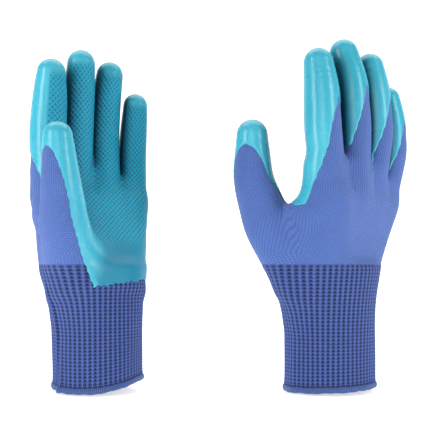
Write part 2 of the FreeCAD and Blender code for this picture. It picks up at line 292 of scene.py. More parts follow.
def line_distance(points, line, radius):
    """Distance to a tapered rounded line, and how far along it; only rough farther off than FAR."""
    bow = segment_distance(line, line[0], line[-1], 0.0, 0.0)[0].max()
    stout = radius.max() + bow
    best, share = segment_distance(points, line[0], line[-1], stout, stout)
    lengths = np.concatenate([[0], np.cumsum(np.linalg.norm(np.diff(line, axis=0), axis=1))])
    where = share * lengths[-1]
    near = np.flatnonzero(best < FAR)
    close_points = points[near]
    closest = np.full(len(near), 1e9)
    along = np.zeros(len(near))
    for i in range(len(line) - 1):
        distance, share = segment_distance(close_points, line[i], line[i + 1], radius[i], radius[i + 1])
        closer = distance < closest
        closest = np.where(closer, distance, closest)
        along = np.where(closer, lengths[i] + share * (lengths[i + 1] - lengths[i]), along)
    best[near] = closest
    where[near] = along
    return best, where


PALM_FLAT_CURVE = smooth_curve(PALM_LEVELS, PALM_FLAT, 8.0)
PALM_THICK_CURVE = smooth_curve(PALM_LEVELS, PALM_THICK, 8.0)
PALM_FORWARD_CURVE = smooth_curve(PALM_LEVELS, PALM_FORWARD, 8.0)
CUFF_RADIUS_CURVE = smooth_curve(CUFF_HEIGHTS, CUFF_RADII, 8.0)
CUFF_BACK_CURVE = smooth_curve(CUFF_HEIGHTS, CUFF_BACK, 8.0)


# ================================================================ surface from a distance field
def gradient(field, points, step=0.25):
    """Direction in which the field grows, as unit vectors."""
    out = np.empty_like(points)
    for axis in range(3):
        shift = np.zeros(3)
        shift[axis] = step
        out[:, axis] = field(points + shift) - field(points - shift)
    return out / (np.linalg.norm(out, axis=1)[:, None] + 1e-9)


def field_values(field, low, counts, cell, block=8):
    """The field on the grid, worked out block by block, and exactly only where the surface can be."""
    blocks = np.ceil(counts / block).astype(int)
    size = block * cell
    grid = np.stack(np.meshgrid(*[np.arange(n) for n in blocks], indexing="ij"), axis=-1).reshape(-1, 3)
    centre = low + (grid + 0.5) * size - cell / 2
    rough = field(centre)
    values = np.repeat(np.repeat(np.repeat(rough.reshape(blocks), block, 0), block, 1), block, 2)
    inner = np.stack(np.meshgrid(*[np.arange(block)] * 3, indexing="ij"), axis=-1).reshape(-1, 3)
    close = grid[np.abs(rough) < size]
    for start in range(0, len(close), 400):
        part = close[start:start + 400]
        index = (part[:, None, :] * block + inner[None, :, :]).reshape(-1, 3)
        values[tuple(index.T)] = field(low + index * cell)
    return values


def cell_points(values):
    """One point in every grid cell that the surface passes through, and the cells' numbers."""
    inside = values < 0
    shape = np.array(values.shape)
    corner = [np.array(c) for c in np.ndindex(2, 2, 2)]
    total = np.zeros(shape - 1, int)
    for c in corner:
        total += inside[c[0]:shape[0] - 1 + c[0], c[1]:shape[1] - 1 + c[1], c[2]:shape[2] - 1 + c[2]]
    active = np.argwhere((total > 0) & (total < 8))
    number = -np.ones(shape - 1, int)
    number[tuple(active.T)] = np.arange(len(active))
    place = np.zeros((len(active), 3))
    weight = np.zeros(len(active))
    for a in corner:
        for axis in range(3):
            if a[axis]:
                continue
            b = a.copy()
            b[axis] = 1
            va = values[tuple((active + a).T)]
            vb = values[tuple((active + b).T)]
            cross = (va < 0) != (vb < 0)
            t = np.where(cross, va / np.where(cross, va - vb, 1), 0)
            point = a + (b - a) * t[:, None]
            place += point * cross[:, None]
            weight += cross
    return active + place / weight[:, None], number


def cell_quads(values, number):
    """A four-sided face across every grid edge that the surface crosses."""
    inside = values < 0
    shape = np.array(values.shape)
    quads = []
    for axis in range(3):
        other = [(axis + 1) % 3, (axis + 2) % 3]
        first = [slice(0, s) for s in shape]
        second = [slice(0, s) for s in shape]
        first[axis] = slice(0, shape[axis] - 1)
        second[axis] = slice(1, shape[axis])
        spots = np.argwhere(inside[tuple(first)] != inside[tuple(second)])
        spots = spots[np.all((spots[:, other] > 0) & (spots[:, other] < shape[other] - 1), axis=1)]
        flip = inside[tuple(spots.T)]
        corners = []
        for du, dv in ((0, 0), (1, 0), (1, 1), (0, 1)):
            cell_index = spots.copy()
            cell_index[:, other[0]] -= du
            cell_index[:, other[1]] -= dv
            corners.append(number[tuple(cell_index.T)])
        quad = np.stack(corners, axis=1)
        quad[~flip] = quad[~flip][:, ::-1]
        quads.append(quad)
    return np.concatenate(quads)


def surface_mesh(field, low, high, cell):
    """Closed triangle mesh of field = 0 between two corners."""
    low = np.array(low, float)
    counts = np.ceil((np.array(high) - low) / cell).astype(int) + 1
    values = field_values(field, low, counts, cell)
    points, number = cell_points(values)
    quads = cell_quads(values, number)
    vertices = low + points * cell
    for _ in range(2):
        vertices -= field(vertices)[:, None] * gradient(field, vertices)
    vertices = relax(vertices, quads, field)
    tris = np.concatenate([quads[:, [0, 1, 2]], quads[:, [0, 2, 3]]])
    return vertices, tris


def relax(vertices, quads, field, rounds=3):
    """Evens out the net while staying on the surface."""
    for _ in range(rounds):
        total = np.zeros_like(vertices)
        count = np.zeros(len(vertices))
        for a, b in ((0, 1), (1, 2), (2, 3), (3, 0)):
            np.add.at(total, quads[:, a], vertices[quads[:, b]])
            np.add.at(count, quads[:, a], 1)
            np.add.at(total, quads[:, b], vertices[quads[:, a]])
            np.add.at(count, quads[:, b], 1)
        vertices = vertices * 0.4 + total / count[:, None] * 0.6
        vertices -= field(vertices)[:, None] * gradient(field, vertices)
    return vertices


def vertex_normals(vertices, tris):
    a, b, c = (vertices[tris[:, i]] for i in range(3))
    face = np.cross(b - a, c - a)
    out = np.zeros_like(vertices)
    for i in range(3):
        np.add.at(out, tris[:, i], face)
    return out / (np.linalg.norm(out, axis=1)[:, None] + 1e-12)


def split(rows, tris, values):
    """Cuts the net along values = 0. Returns the rows with the new points, then the two halves' triangles."""
    values = np.where(np.abs(values) < 1e-4, 1e-4, values)
    up = values > 0
    count = up[tris].sum(axis=1)
    low_tris, high_tris = tris[count == 0], tris[count == 3]
    crossing = tris[(count == 1) | (count == 2)]
    if not len(crossing):
        return rows, low_tris, high_tris
    lone_up = up[crossing].sum(axis=1) == 1
    is_lone = up[crossing] == lone_up[:, None]
    turn = np.argmax(is_lone, axis=1)
    order = (turn[:, None] + np.arange(3)) % 3
    crossing = np.take_along_axis(crossing, order, axis=1)
    a, b, c = crossing.T
    pairs = np.concatenate([np.stack([a, b], 1), np.stack([a, c], 1)])
    pairs.sort(axis=1)
    keys = pairs[:, 0] * len(rows) + pairs[:, 1]
    unique, inverse = np.unique(keys, return_inverse=True)
    i, j = unique // len(rows), unique % len(rows)
    t = (values[i] / (values[i] - values[j]))[:, None]
    new = rows[i] * (1 - t) + rows[j] * t
    ab = inverse[:len(a)] + len(rows)
    ac = inverse[len(a):] + len(rows)
    lone = np.stack([a, ab, ac], 1)
    rest = np.concatenate([np.stack([ab, b, c], 1), np.stack([ab, c, ac], 1)])
    rest_up = np.concatenate([~lone_up, ~lone_up])
    rows = np.concatenate([rows, new])
    low_tris = np.concatenate([low_tris, lone[~lone_up], rest[~rest_up]])
    high_tris = np.concatenate([high_tris, lone[lone_up], rest[rest_up]])
    return rows, low_tris, high_tris


# ================================================================ where the coat lies and how the cloth runs
# where the skin is cut off, where the knit takes over from the cuff, and where the fingers part from the
# palm (along the hand from the wrist), in mm
SKIN_FOOT = 71.5
KNIT_BOTTOM = 87.5
FINGER_BASE = 43.0
COAT_THICKNESS = 0.55
# size of the lattice's diamonds, and how high its lines stand
LATTICE_WIDE = 3.4
LATTICE_HIGH = 3.65
LATTICE_RELIEF = 0.32
# distance below the knit tongue's point, in mm, and the tongue's half width round the finger, in degrees
TONGUE_BELOW = (-10.0, 0.0, 3.5, 7.0, 14.0, 25.0, 39.0, 52.0, 62.0, 75.0)
TONGUE_WIDTH = (-30.0, 0.0, 15.0, 22.0, 35.0, 56.0, 80.0, 97.0, 112.0, 120.0)
# the same toward the thumb on the first finger, where the coat's edge turns to the palm
INDEX_BELOW = (-10.0, 0.0, 3.5, 7.0, 14.0, 25.0, 37.0, 47.0, 52.0, 60.0, 66.0, 75.0)
INDEX_WIDTH = {
    "left": (-30.0, 0.0, 15.0, 22.0, 38.0, 55.0, 81.0, 125.0, 140.0, 158.0, 168.0, 178.0),
    "right": (-30.0, 0.0, 15.0, 22.0, 38.0, 55.0, 70.0, 92.0, 105.0, 146.0, 165.0, 175.0),
}
# where the knit between thumb and first finger stops, measured in mm across the web on the slant
# given (thumbward share, palmward share), for each height above the hem
CROTCH_EDGE = {
    "left": ((0.866, -0.5), (118.0, 126.0, 139.5, 152.0, 163.0, 175.0),
             (45.0, 28.5, 33.8, 39.2, 44.8, 60.0)),
    "right": ((0.643, 0.766), (127.2, 130.0, 136.6, 143.2, 153.0, 162.9, 175.0),
              (27.7, 22.5, 17.8, 13.4, 9.4, 6.1, -60.0)),
}
# how far round the finger the knit may reach at most, and less toward the thumb, in degrees from the back
TONGUE_CAP = 97.0
THUMBWARD_CAP = {"middle": 77.0, "ring": 62.0, "little": 62.0}
# direction of each tongue's point round the finger, in degrees, and its height above the hem
TONGUE_MIDDLE = {"index": -21.0, "middle": -16.0, "ring": -22.0, "little": -15.0}
TONGUE_TOP = {"index": 199.5, "middle": 208.8, "ring": 204.0, "little": 189.0}
# how far round toward the thumb the embossed lattice reaches on each finger, in radians from the front
LATTICE_LIMIT = {"index": 0.5, "middle": 0.9, "ring": 1.15, "little": 1.1}
# the thumb's tongue: its middle, in degrees from the thumb side toward the palm, and half widths by height
THUMB_TONGUE = {
    "left": (18.0, (112.0, 122.0, 132.0, 138.6, 145.0, 152.0, 157.0, 160.0, 162.0, 163.2, 180.0),
             (84.0, 76.0, 69.0, 64.0, 57.5, 47.0, 37.0, 27.0, 16.0, 0.0, -60.0)),
    "right": (-14.0, (118.0, 126.0, 134.0, 144.5, 154.7, 160.0, 165.0, 166.5, 167.5, 190.0),
              (112.0, 106.0, 96.0, 76.0, 61.0, 47.0, 29.0, 16.0, 0.0, -60.0)),
}
# the thumb's cloth coordinate on its thumb side at 105 mm, in mm, and how much it grows per mm of height,
# so that the knit runs on from the hand
THUMB_CLOTH = {"left": (72.0, 0.45), "right": (65.7, 0.5)}
# height above the hem and how far toward the thumb the palm's coat reaches
HEEL_EDGE_HEIGHT = (60.0, 75.0, 90.0, 97.5, 106.0, 112.0, 119.0, 126.0, 140.0)
HEEL_EDGE = (13.0, 17.0, 24.0, 27.5, 31.0, 33.5, 36.0, 39.0, 45.0)
# levels along the hand between which the palm's cloth turns into the fingers'
INTO_FINGERS = (46.0, 64.0)
# mm of cloth for each radian round a finger and round the thumb
CLOTH_ROUND_FINGER = 11.0
CLOTH_ROUND_THUMB = 12.0
RUBBER_ROUND_THUMB = 15.0
# lowest edge of the coat above the hem, and how much it rises across the palm
COAT_FOOT = 73.2
COAT_FOOT_RISE = 0.10


def line_frame(glove, name, points):
    """Offset from the nearest spot of a bone line, the line's direction there and its radius there."""
    line, radius = glove.lines[name]
    _, where = line_distance(points, line, radius)
    lengths = np.concatenate([[0], np.cumsum(np.linalg.norm(np.diff(line, axis=0), axis=1))])
    behind, centre, ahead = (
        np.stack([np.interp(where + step, lengths, line[:, i]) for i in range(3)], axis=1)
        for step in (-1.0, 0.0, 1.0))
    along = ahead - behind
    along /= np.linalg.norm(along, axis=1)[:, None]
    return points - centre, along, np.interp(where, lengths, radius)


def finger_coordinates(glove, finger, points):
    """Angle round a finger from its back, thumb side positive, and the finger's radius there."""
    rel, along, radius = line_frame(glove, finger, points)
    across = glove.across - along * (along @ glove.across)[:, None]
    across /= np.linalg.norm(across, axis=1)[:, None]
    back = -np.cross(along, across)
    side = np.einsum("ij,ij->i", rel, across)
    depth = np.einsum("ij,ij->i", rel, back)
    return np.arctan2(side, depth), radius


def thumb_coordinates(glove, points):
    """Angle round the thumb from the middle of its tongue, and the thumb's radius there."""
    rel, along, radius = line_frame(glove, "thumb", points)
    toward_thumb = np.array([1.0, 0, 0]) - along * along[:, :1]
    toward_thumb /= np.linalg.norm(toward_thumb, axis=1)[:, None]
    toward_palm = np.cross(along, toward_thumb)
    angle = np.arctan2(np.einsum("ij,ij->i", rel, toward_palm), np.einsum("ij,ij->i", rel, toward_thumb))
    middle = math.radians(THUMB_TONGUE[glove.side][0])
    return wrapped(angle - middle), radius


def wrapped(angle):
    """The same direction, between minus and plus half a turn."""
    return (angle + math.pi) % (2 * math.pi) - math.pi


def mixed(first, second, share):
    return first * (1 - share) + second * share


def finger_borders(glove, along):
    """Across-hand position of the border between neighbouring fingers at each level."""
    spots = {}
    for finger in FINGERS:
        line = np.array(glove.segments[finger])
        across, _, level = glove.local(line)
        spots[finger] = np.interp(along, level, across)
    return [(spots[a] + spots[b]) / 2 for a, b in zip(FINGERS, FINGERS[1:])]


def nearest_finger(glove, points):
    """Number of the finger whose strip of the hand each point is in."""
    across, _, along = glove.local(points)
    borders = finger_borders(glove, along)
    return sum((across < border).astype(int) for border in borders)


def crotch_limit(glove, points, across, thick):
    """How far inside the coat a point is, as far as the slanting edge beside the thumb's web decides."""
    (thumbward, palmward), heights, places = CROTCH_EDGE[glove.side]
    place = thumbward * points[:, 0] + palmward * points[:, 1]
    inside = place - np.interp(points[:, 2], heights, places)
    if glove.side == "left":
        return -0.9 * inside
    return 0.9 * inside + 60.0 * smooth_step(7.0, 14.0, thick) + 60.0 * smooth_step(20.0, 12.0, across)


def hand_cloth(across, thick, along):
    """How far round the hand each point lies: for the knit from the back, for the rubber from the palm."""
    flat = np.interp(along, *PALM_FLAT_CURVE)
    half = np.interp(along, *PALM_THICK_CURVE)
    over = np.maximum(np.abs(across) - flat, 0.0)
    level = np.minimum(np.abs(across), flat)
    return [np.sign(across) * (level + half * np.arctan2(over, toward)) for toward in (-thick, thick)]


def hand_coat(points, across, thick, along):
    """How far inside the coat's edge each point of the hand is, on the heel alone too, and the lattice, whose
    mask also carries the palm's painted shade.
    """
    height = points[:, 2]
    edge = np.interp(height, HEEL_EDGE_HEIGHT, HEEL_EDGE)
    reach = 1.0 + 2.0 * smooth_step(20, -20, across)
    reach = reach + 7.0 * smooth_step(36, 52, along) * smooth_step(24, 16, across)
    on_heel = np.minimum(thick + reach, (edge - points[:, 0]) * 0.9)
    coat = on_heel + (thick + reach - on_heel) * smooth_step(124.0, 132.0, height)
    # below 108 mm, and fully below 90 mm, the lattice mask also takes in the smooth heel, where no lattice is
    # raised, so that the coat's colour paints the palm's shade there
    beside_thumb = np.maximum(smooth_step(8.5, 10.5, edge - points[:, 0]), smooth_step(108.0, 90.0, height))
    lattice = beside_thumb * smooth_step(1.5, 4.0, coat) * smooth_step(0.0, 5.0, thick)
    return coat, on_heel, lattice


def finger_edge(glove, finger, angle, radius, height, thick):
    """How far inside the coat's edge each point of a finger is: outside its tongue of knit."""
    below = TONGUE_TOP[finger] - height
    width = np.radians(np.interp(below, TONGUE_BELOW, TONGUE_WIDTH))
    middle = math.radians(TONGUE_MIDDLE[finger])
    value = (np.abs(wrapped(angle - middle)) - width) * radius
    limit = np.full(len(angle), math.radians(TONGUE_CAP))
    toward_thumb = angle > 0
    if finger == "index":
        width = np.radians(np.interp(below, INDEX_BELOW, INDEX_WIDTH[glove.side]))
        value = np.where(toward_thumb, (angle - middle - width) * radius, value)
        limit[toward_thumb] = math.pi
    else:
        limit[toward_thumb] = math.radians(THUMBWARD_CAP[finger])
    value = np.maximum(value, (np.abs(angle) - limit) * radius)
    in_web = thick - 1.5 - 40.0 * smooth_step(150.0, 160.0, height)
    if finger == "index":
        in_web[toward_thumb] = -100.0
    return np.maximum(value, in_web)


def finger_cloth(glove, finger, points, thick):
    """Knit u, rubber u, coat and lattice on a finger."""
    angle, radius = finger_coordinates(glove, finger, points)
    height = points[:, 2]
    from_front = np.sign(angle) * (math.pi - np.abs(angle))
    base = glove.local(glove.knuckles[finger][None])[0][0]
    end = glove.lines[finger][0][-1, 2]
    limit = LATTICE_LIMIT[finger]
    patch = smooth_step(1.35, 1.1, -from_front) * smooth_step(limit + 0.1, limit - 0.1, from_front)
    patch = patch * smooth_step(end + 3.0, end - 4.0, height)
    return (base + angle * CLOTH_ROUND_FINGER, base + from_front * CLOTH_ROUND_FINGER,
            finger_edge(glove, finger, angle, radius, height, thick), patch)


def thumb_cloth(glove, points, on_heel):
    """Knit u, rubber u and coat on the thumb, whose coat runs down into the heel's."""
    angle, radius = thumb_coordinates(glove, points)
    height = points[:, 2]
    _, levels, widths = THUMB_TONGUE[glove.side]
    coat = (np.abs(angle) - np.radians(np.interp(height, levels, widths))) * radius
    high = smooth_step(118.0, 128.0, height)
    start, slant = THUMB_CLOTH[glove.side]
    knit_u = start + slant * (np.clip(height, 95.0, 130.0) - 105.0) + angle * CLOTH_ROUND_THUMB
    return knit_u, angle * RUBBER_ROUND_THUMB, mixed(on_heel, coat, high)


def describe(glove, points):
    """Cloth and coat coordinates for every point: knit u and v, rubber u and v, lattice, relief, coat."""
    across, thick, along = glove.local(points)
    height = points[:, 2]
    knit_u, rubber_u = hand_cloth(across, thick, along)
    coat, on_heel, lattice = hand_coat(points, across, thick, along)
    which = nearest_finger(glove, points)
    into_fingers = smooth_step(*INTO_FINGERS, along)
    for number, finger in enumerate(FINGERS):
        mine = (which == number) & (along > 40)
        if not mine.any():
            continue
        on_finger = finger_cloth(glove, finger, points[mine], thick[mine])
        for column, value in zip((knit_u, rubber_u, coat, lattice), on_finger):
            column[mine] = mixed(column[mine], value, into_fingers[mine])
    coat = np.minimum(coat, crotch_limit(glove, points, across, thick))
    lattice = lattice * smooth_step(43.0, 39.0, across)

    on_thumb = smooth_step(-5.0, 6.0, glove.hand(points) - glove.thumb(points))
    thumb_u, thumb_rubber_u, thumb_coat = thumb_cloth(glove, points, on_heel)
    knit_u = mixed(knit_u, thumb_u, on_thumb)
    rubber_u = mixed(rubber_u, thumb_rubber_u, on_thumb)
    coat = mixed(coat, thumb_coat, on_thumb)
    lattice = lattice * (1 - on_thumb)
    x = points[:, 0]
    foot = COAT_FOOT + COAT_FOOT_RISE * (13.0 - x)
    foot = foot + 0.5 * np.sin(x * 1.5) + 0.35 * np.sin(x * 0.53 + 1.0)
    wander = 0.25 * np.sin(height * 0.9 + x * 0.4) + 0.2 * np.sin(height * 3.1 + 2.0)
    coat = np.minimum(coat + wander, height - foot)
    relief = lattice * smooth_step(96, 108, height)
    return np.stack([knit_u, along, rubber_u, along, lattice, relief, coat], axis=1)


# what the columns of a row of the skin hold
COLUMNS = {"x": slice(0, 3), "normal": slice(3, 6), "knit": slice(6, 8), "rubber": slice(8, 10),
           "lattice": 10, "relief": 11, "coat": 12}


# ================================================================ making the pieces
# open edges with fewer points than this are left alone
SHORTEST_LOOP = 8
# cut edges nearer the thumb's joint than this, or lower along the hand than this, open when a joint bends
THUMB_HOLE = 14.0
FINGER_CUT_TOP = 68.0
# share of the way to the next joint at which each finger length's piece ends
PIECE_END = {"first": 0.73, "middle": 0.5}
# how far to each side of the joint the span worked out for a piece's bend reaches, in mm
WRIST_REACH = 16.0
KNUCKLE_REACH = 11.0
JOINT_REACH = 8.0
# the coat thins out to its edge over this width, and stands off the cuff where it covers it
COAT_ROUNDING = 1.1
COAT_LEAST = 0.04
COAT_OVER_CUFF = 0.55


def make_object(name, vertices, tris, normals, attributes, material):
    """A smooth mesh object from points and faces, with its normals, attributes, material and slot."""
    used, inverse = np.unique(tris, return_inverse=True)
    tris = inverse.reshape(tris.shape)
    mesh = bpy.data.meshes.new(name)
    mesh.vertices.add(len(used))
    mesh.vertices.foreach_set("co", vertices[used].astype(np.float32).ravel())
    size = tris.shape[1]
    mesh.loops.add(tris.size)
    mesh.loops.foreach_set("vertex_index", tris.astype(np.int32).ravel())
    mesh.polygons.add(len(tris))
    mesh.polygons.foreach_set("loop_start", np.arange(0, tris.size, size, dtype=np.int32))
    mesh.update(calc_edges=True)
    mesh.polygons.foreach_set("use_smooth", np.ones(len(tris), bool))
    for key, data in attributes.items():
        data = data[used]
        if data.ndim == 1:
            layer = mesh.attributes.new(key, "FLOAT", "POINT")
            layer.data.foreach_set("value", data.astype(np.float32))
        else:
            full = np.zeros((len(used), 3), np.float32)
            full[:, :data.shape[1]] = data
            layer = mesh.attributes.new(key, "FLOAT_VECTOR", "POINT")
            layer.data.foreach_set("vector", full.ravel())
    if normals is not None:
        mesh.normals_split_custom_set_from_vertices(normals[used].astype(np.float32))
    mesh.materials.append(material)
    obj = bpy.data.objects.new(name, mesh)
    bpy.context.scene.collection.objects.link(obj)
    return obj


def boundary_loops(tris):
    """Rings of points round the open edges, in the order that a cap needs."""
    edges = np.concatenate([tris[:, [0, 1]], tris[:, [1, 2]], tris[:, [2, 0]]])
    keys = {(a, b) for a, b in edges.tolist()}
    follow = {b: a for a, b in keys if (b, a) not in keys}
    loops = []
    while follow:
        start = next(iter(follow))
        loop = [start]
        here = follow.pop(start)
        while here != start and here in follow:
            loop.append(here)
            here = follow.pop(here)
        loops.append(np.array(loop))
    return loops


def cap(rows, tris, chosen, inside, facing):
    """Closes the chosen open edges with a fan to a point inside the piece, or to the edge's own middle."""
    for loop in boundary_loops(tris):
        if len(loop) < SHORTEST_LOOP or not chosen(rows[loop]):
            continue
        middle = rows[loop].mean(axis=0)
        if inside is not None:
            middle[COLUMNS["x"]] = inside
        new = np.concatenate([rows[loop], middle[None]])
        base, count = len(rows), len(loop)
        index = np.arange(count)
        fan = np.stack([base + index, base + (index + 1) % count, np.full(count, base + count)], axis=1)
        a, b, c = (new[fan[:, i] - base][:, COLUMNS["x"]] for i in range(3))
        face = np.cross(b - a, c - a).sum(axis=0)
        new[:, COLUMNS["normal"]] = facing * face / (np.linalg.norm(face) + 1e-9)
        rows = np.concatenate([rows, new])
        tris = np.concatenate([tris, fan])
    return rows, tris


def at_joint(glove, name, loop):
    """Whether a cut edge is one that opens when a finger or the thumb bends alone."""
    if name in ("palm", "thumb_first"):
        joint = glove.segments["thumb"][1]
        return np.linalg.norm(loop[:, :3].mean(axis=0) - joint) < THUMB_HOLE
    return glove.local(loop[:, :3])[2].mean() < FINGER_CUT_TOP


def cut_pieces(glove, rows, tris):
    """Parts the skin at the joints. Returns each piece's rows and triangles by its name."""
    pieces = {}

    def thumb_value(points):
        first = glove.segments["thumb"][1]
        along = unit(glove.segments["thumb"][2] - first)
        below = (points - first) @ along + 10.0
        return np.minimum(below, (glove.hand(points) - glove.thumb(points)) * 0.7)

    rows, rest, thumb = split(rows, tris, thumb_value(rows[:, :3]))
    _, _, along = glove.local(rows[:, :3])
    rows, palm, fingers = split(rows, rest, along - FINGER_BASE)
    pieces["palm"] = (rows, palm)
    for number, finger in enumerate(FINGERS):
        part_rows, part = rows, fingers
        if number > 0:
            across, _, along = glove.local(part_rows[:, :3])
            border = finger_borders(glove, along)[number - 1]
            part_rows, part, _ = split(part_rows, part, across - border)
        if number < 3:
            across, _, along = glove.local(part_rows[:, :3])
            border = finger_borders(glove, along)[number]
            part_rows, _, part = split(part_rows, part, across - border)
        joints = glove.segments[finger]
        for level, name in enumerate(PIECE_END, start=1):
            low, high = joints[level], joints[level + 1]
            value = (part_rows[:, :3] - (low + (high - low) * PIECE_END[name])) @ unit(high - low)
            part_rows, below, part = split(part_rows, part, value)
            pieces[finger + "_" + name] = (part_rows, below)
        pieces[finger + "_tip"] = (part_rows, part)
    joints = glove.segments["thumb"]
    value = (rows[:, :3] - (joints[1] + (joints[2] - joints[1]) * 0.5)) @ unit(joints[2] - joints[1])
    thumb_rows, below, above = split(rows, thumb, value)
    pieces["thumb_first"] = (thumb_rows, below)
    pieces["thumb_tip"] = (thumb_rows, above)
    return pieces


def bend_piece(glove, obj, name):
    """Works out the span of a piece's joint, from where to where, and bakes the piece's transform."""
    if name in ("palm", "cuff"):
        centre, along, reach = glove.wrist, np.array([0.0, 0.0, 1.0]), WRIST_REACH
    else:
        part, length = name.rsplit("_", 1)
        chain = ["palm", part + "_first", part + "_middle", part + "_tip"]
        if part == "thumb":
            chain = ["palm", "thumb_first", "thumb_tip"]
        level = {"first": 0, "middle": 1, "tip": len(chain) - 2}[length]
        points = glove.segments[part]
        centre = points[level + 1]
        before = unit(centre - points[level])
        after = unit(points[level + 2] - centre)
        along = unit(before + after)
        reach = KNUCKLE_REACH if level == 0 else JOINT_REACH
    start = glove.to_row((centre - along * reach)[None])[0]
    end = glove.to_row((centre + along * reach)[None])[0]
    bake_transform(obj)


def build_skin(glove):
    """The glove's whole surface, then the knit and the coat cut out of it."""
    low = np.array([-58.0, -62.0, 70.0])
    high = np.array([66.0, 56.0, 246.0])
    vertices, tris = surface_mesh(glove.whole, low, high, GRID)
    normals = gradient(glove.whole, vertices)
    rows = np.concatenate([vertices, normals, describe(glove, vertices)], axis=1)
    if glove.mirror < 0:
        tris = tris[:, ::-1]
    rows, _, tris = split(rows, tris, rows[:, 2] - SKIN_FOOT)
    build_knit(glove, rows, tris)
    build_coat(glove, rows, tris)


def build_knit(glove, rows, tris):
    rows, _, knit = split(rows, tris, rows[:, 2] - KNIT_BOTTOM)
    for name, (part_rows, part) in cut_pieces(glove, rows, knit).items():
        if name.endswith("_first") or name == "palm":
            finger = name.split("_")[0]
            inside = glove.segments[finger][1] if finger in FINGERS else None
            part_rows, part = cap(
                part_rows, part, lambda loop: at_joint(glove, name, loop), inside, glove.mirror)
        save_piece(glove, name, part_rows, part, "knit_liner")


def build_coat(glove, rows, tris):
    """The rubber, standing off the skin inside its edge, with the lattice raised on it."""
    rows, _, coat = split(rows, tris, rows[:, COLUMNS["coat"]])
    inward = np.clip(rows[:, COLUMNS["coat"]] / COAT_ROUNDING, 0, 1)
    lift = COAT_LEAST + COAT_THICKNESS * np.sqrt(inward * (2 - inward))
    over_cuff = COAT_OVER_CUFF * smooth_step(90.0, 86.0, rows[:, 2])
    u, v = rows[:, COLUMNS["rubber"]].T
    a = np.abs(np.cos(math.pi * (u / LATTICE_WIDE + v / LATTICE_HIGH)))
    b = np.abs(np.cos(math.pi * (u / LATTICE_WIDE - v / LATTICE_HIGH)))
    line = np.maximum(a, b) ** 6
    relief = rows[:, COLUMNS["relief"]] * (line - 0.75) * LATTICE_RELIEF
    normal = rows[:, COLUMNS["normal"]]
    rows = rows.copy()
    rows[:, :3] += normal * (lift + over_cuff + relief)[:, None]
    rows[:, COLUMNS["normal"]] = glove.mirror * vertex_normals(rows[:, :3], coat)
    for name, (part_rows, part) in cut_pieces(glove, rows, coat).items():
        save_piece(glove, name, part_rows, part, "rubber_coat")


def save_piece(glove, name, rows, tris, slot):
    """Makes one piece of knit or coat, bakes its transform and hides the CAD part it stands for."""
    if slot == "knit_liner":
        ending, cad_ending, material = "_knit", "_liner", KNIT
        attributes = {"cloth": rows[:, COLUMNS["knit"]]}
    else:
        ending, cad_ending, material = "_rubber", "_coat", COAT
        attributes = {
            "relief": rows[:, COLUMNS["relief"]],
            "lattice": rows[:, COLUMNS["lattice"]],
            "cloth": rows[:, COLUMNS["rubber"]],
        }
    piece = glove.side + "_" + name
    obj = make_object(piece + ending, glove.to_row(rows[:, :3]), tris,
                      glove.turn_to_row(rows[:, COLUMNS["normal"]]), attributes, material)
    bend_piece(glove, obj, name)
    # the CAD's fingertips are coat and knit in one, so the tips' knit stands for no part of its own
    if slot == "rubber_coat" or not name.endswith("_tip"):
        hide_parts(piece + cad_ending)


# ================================================================ cuff and hem
# ribs round the cuff, points to each rib, height of one row of dots and rows of points to it
RIBS = 56
SAMPLES = 8
COURSE = 2.45
ROW_STEP = COURSE / 7
CUFF_LOW = 4.6
CUFF_WALL = 1.3
# how far the cuff runs up inside the knit
CUFF_LAP = 0.6
# how far ribs and rows stand out and dots sink in, in mm
RIB_LIFT = 0.22
ROW_LIFT = 0.16
DOT_DEPTH = 0.42
HEM_LOW = 1.4
HEM_HEIGHT = 3.9
HEM_THICK = 1.15
HEM_STITCHES = 150
HEM_COLUMNS = 640
HEM_AROUND = 18
# the opening: how much it is lifted, how much it slopes sideways and how much it dips, in mm
LOWER_EDGE = {"left": (4.3, 2.5, 4.2), "right": (0.7, 1.3, 0.0)}
# folds along the cuff: direction in degrees, height in mm and width in radians
CREASE = {
    "left": ((11.0, 1.9, 0.055), (150.0, 0.5, 0.25), (-80.0, 0.6, 0.2)),
    "right": ((15.0, 0.6, 0.14), (-120.0, 0.5, 0.2), (170.0, 0.6, 0.2)),
}


def directions(angle):
    """Level unit vectors at the given angles round the cuff."""
    return np.stack([np.cos(angle), np.sin(angle), np.zeros_like(angle)], axis=1)


def cuff_centre(height):
    """Middle of the cuff at each height."""
    return np.stack([np.zeros_like(height), -np.interp(height, *CUFF_BACK_CURVE), height], axis=-1)


def cuff_radius(glove, angle, height):
    """How far the skin is from the cuff's middle in each direction, by halving."""
    ray = directions(angle)
    centre = cuff_centre(height)
    low = np.full(angle.shape, 15.0)
    high = np.full(angle.shape, 62.0)
    for _ in range(16):
        middle = (low + high) / 2
        outside = glove.whole(centre + ray * middle[:, None]) > 0
        high = np.where(outside, middle, high)
        low = np.where(outside, low, middle)
    return (low + high) / 2


def lower_edge_shift(glove, points):
    """The opening isn't quite level on its owner: it slopes, and the slope dies out up the cuff."""
    in_row = points @ glove.to_row_matrix
    lift, slope, dip = LOWER_EDGE[glove.side]
    front = (in_row[:, 1] / 31.0) ** 2
    shift = lift + slope * in_row[:, 0] / 31.0 - dip * front
    return shift * (1 - smooth_step(0.0, 50.0, points[:, 2]))


